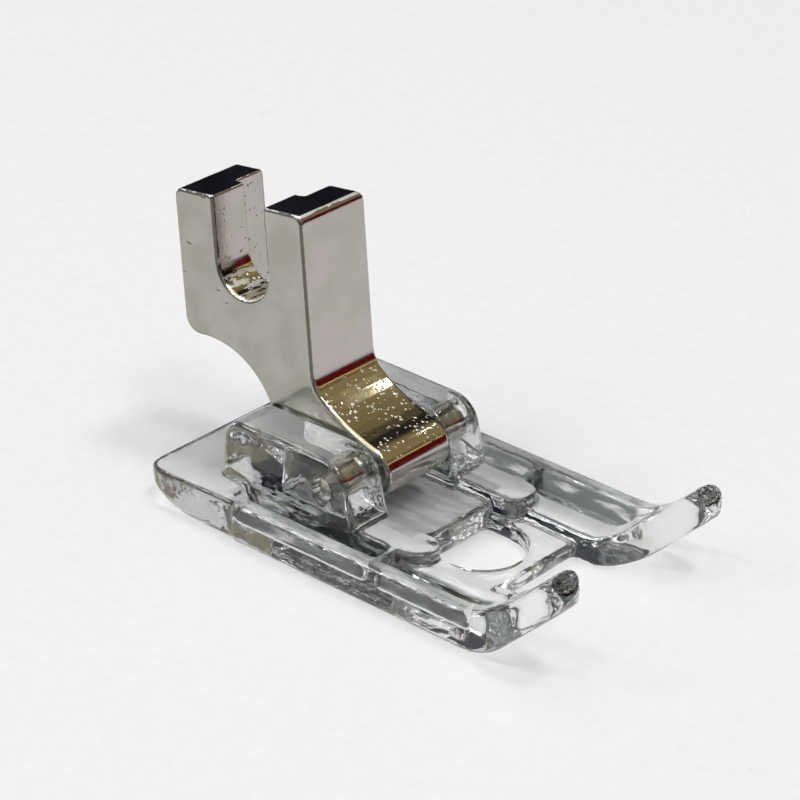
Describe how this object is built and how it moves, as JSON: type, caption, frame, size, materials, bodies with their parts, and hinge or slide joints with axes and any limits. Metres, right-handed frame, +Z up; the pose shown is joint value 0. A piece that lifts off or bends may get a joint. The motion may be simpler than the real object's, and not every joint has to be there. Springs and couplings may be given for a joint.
{
  "type": "sewing machine presser foot",
  "caption": "Low-shank zigzag presser foot: a clear moulded sole with turned-up toes tilts on a pin below a plated, forked shank.",
  "frame": {"origin": "on the underside of the sole, straight below the axis of the hinge pin, midway between the rails", "axes": "+X to the sewer's right along the pin, +Y to the back of the machine, +Z up from the needle plate; the toes point to -Y"},
  "size_m": [0.0186, 0.0362, 0.02],
  "materials": {
    "clear_plastic": "clear, polished mould",
    "pin_steel": "plain ground",
    "plated_steel": "bright nickel plate with fine pits and scratches"
  },
  "bodies": {
    "sole_body": {"sole": "clear_plastic", "pivot_pin": "pin_steel"},
    "shank_body": {"shank": "plated_steel"}
  },
  "joints": [
    {"name": "shank_tilt", "type": "hinge", "parent": "sole_body", "child": "shank_body", "pos_m": [0, 0, 0.00455], "axis": [1, 0, 0], "range_deg": [0, 25]}
  ]
}
